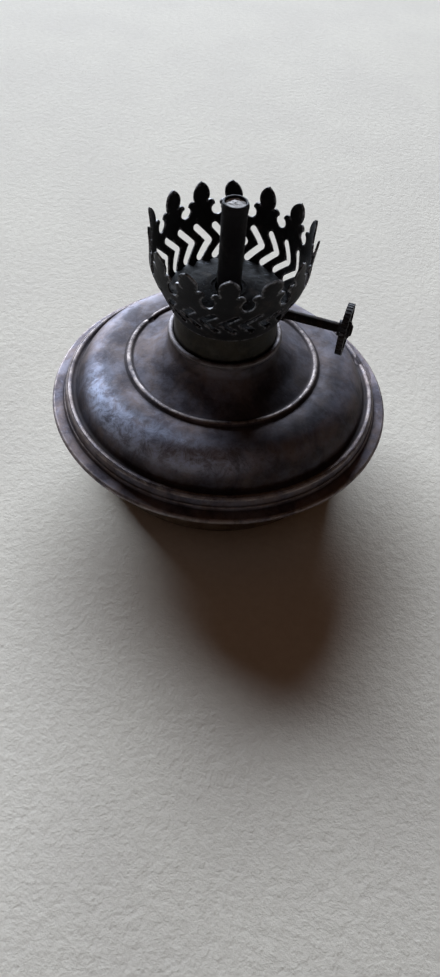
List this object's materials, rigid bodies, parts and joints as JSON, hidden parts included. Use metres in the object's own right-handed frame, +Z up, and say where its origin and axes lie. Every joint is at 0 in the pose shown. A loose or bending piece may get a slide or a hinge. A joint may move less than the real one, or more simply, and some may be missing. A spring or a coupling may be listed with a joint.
{
  "type": "magic lantern paraffin lamp",
  "caption": "Small round-wick paraffin lamp from a toy magic lantern: squat beaded font, pierced crown gallery and side wick winder.",
  "frame": {"origin": "centre of the font's base, on the surface the lamp stands on", "axes": "+Z up along the wick tube; +X along the winder spindle towards its knob"},
  "size_m": [0.076, 0.076, 0.064],
  "materials": {
    "font_brass": "old brass sheet under a dark brown patina, worn bright on beads and rims",
    "collar_brass": "dark patinated brass, worn on the rolled lip",
    "solder": "dull soft solder",
    "drum_brass": "smoke-stained dark brass sheet",
    "deck_brass": "ash-grey stained brass deck",
    "gallery_brass": "thin brass sheet blackened by soot",
    "sooted_tube": "tube black with soot",
    "winder_steel": "brown rusted steel wire and stampings",
    "knob_iron": "dark iron with worn grey milling",
    "wick_cotton": "old round cotton wick, grey with ash at the top"
  },
  "bodies": {
    "font": {"font_upper_shell": "font_brass", "font_lower_shell": "font_brass", "neck_collar": "collar_brass", "collar_solder": "solder"},
    "burner": {"burner_drum": "drum_brass", "burner_base_plate": "drum_brass", "wick_tube": "sooted_tube", "tube_solder": "solder", "deck_cap": "deck_brass", "gallery_crown": "gallery_brass", "spindle_sleeve": "winder_steel", "spindle_bracket": "drum_brass", "bracket_rivets": "drum_brass"},
    "winder": {"winder_spindle": "winder_steel", "spindle_stops": "winder_steel", "spur_wheel_a": "winder_steel", "spur_wheel_b": "winder_steel", "winder_knob": "knob_iron", "knob_washer": "knob_iron"},
    "wick_body": {"wick": "wick_cotton"}
  },
  "joints": [
    {"name": "burner_lift", "type": "slide", "parent": "font", "child": "burner", "axis": [0, 0, 1], "range_m": [0, 0.04]},
    {"name": "winder_turn", "type": "hinge", "parent": "burner", "child": "winder", "pos_m": [0, 0.00464, 0.0387], "axis": [-1, 0, 0], "range_deg": [-90, 180]},
    {"name": "wick_slide", "type": "slide", "parent": "burner", "child": "wick_body", "axis": [0, 0, 1], "range_m": [-0.0042, 0.0083]}
  ],
  "couplings": [
    {"joint": "wick_slide", "follows": "winder_turn", "m_per_rad": 0.0026}
  ]
}
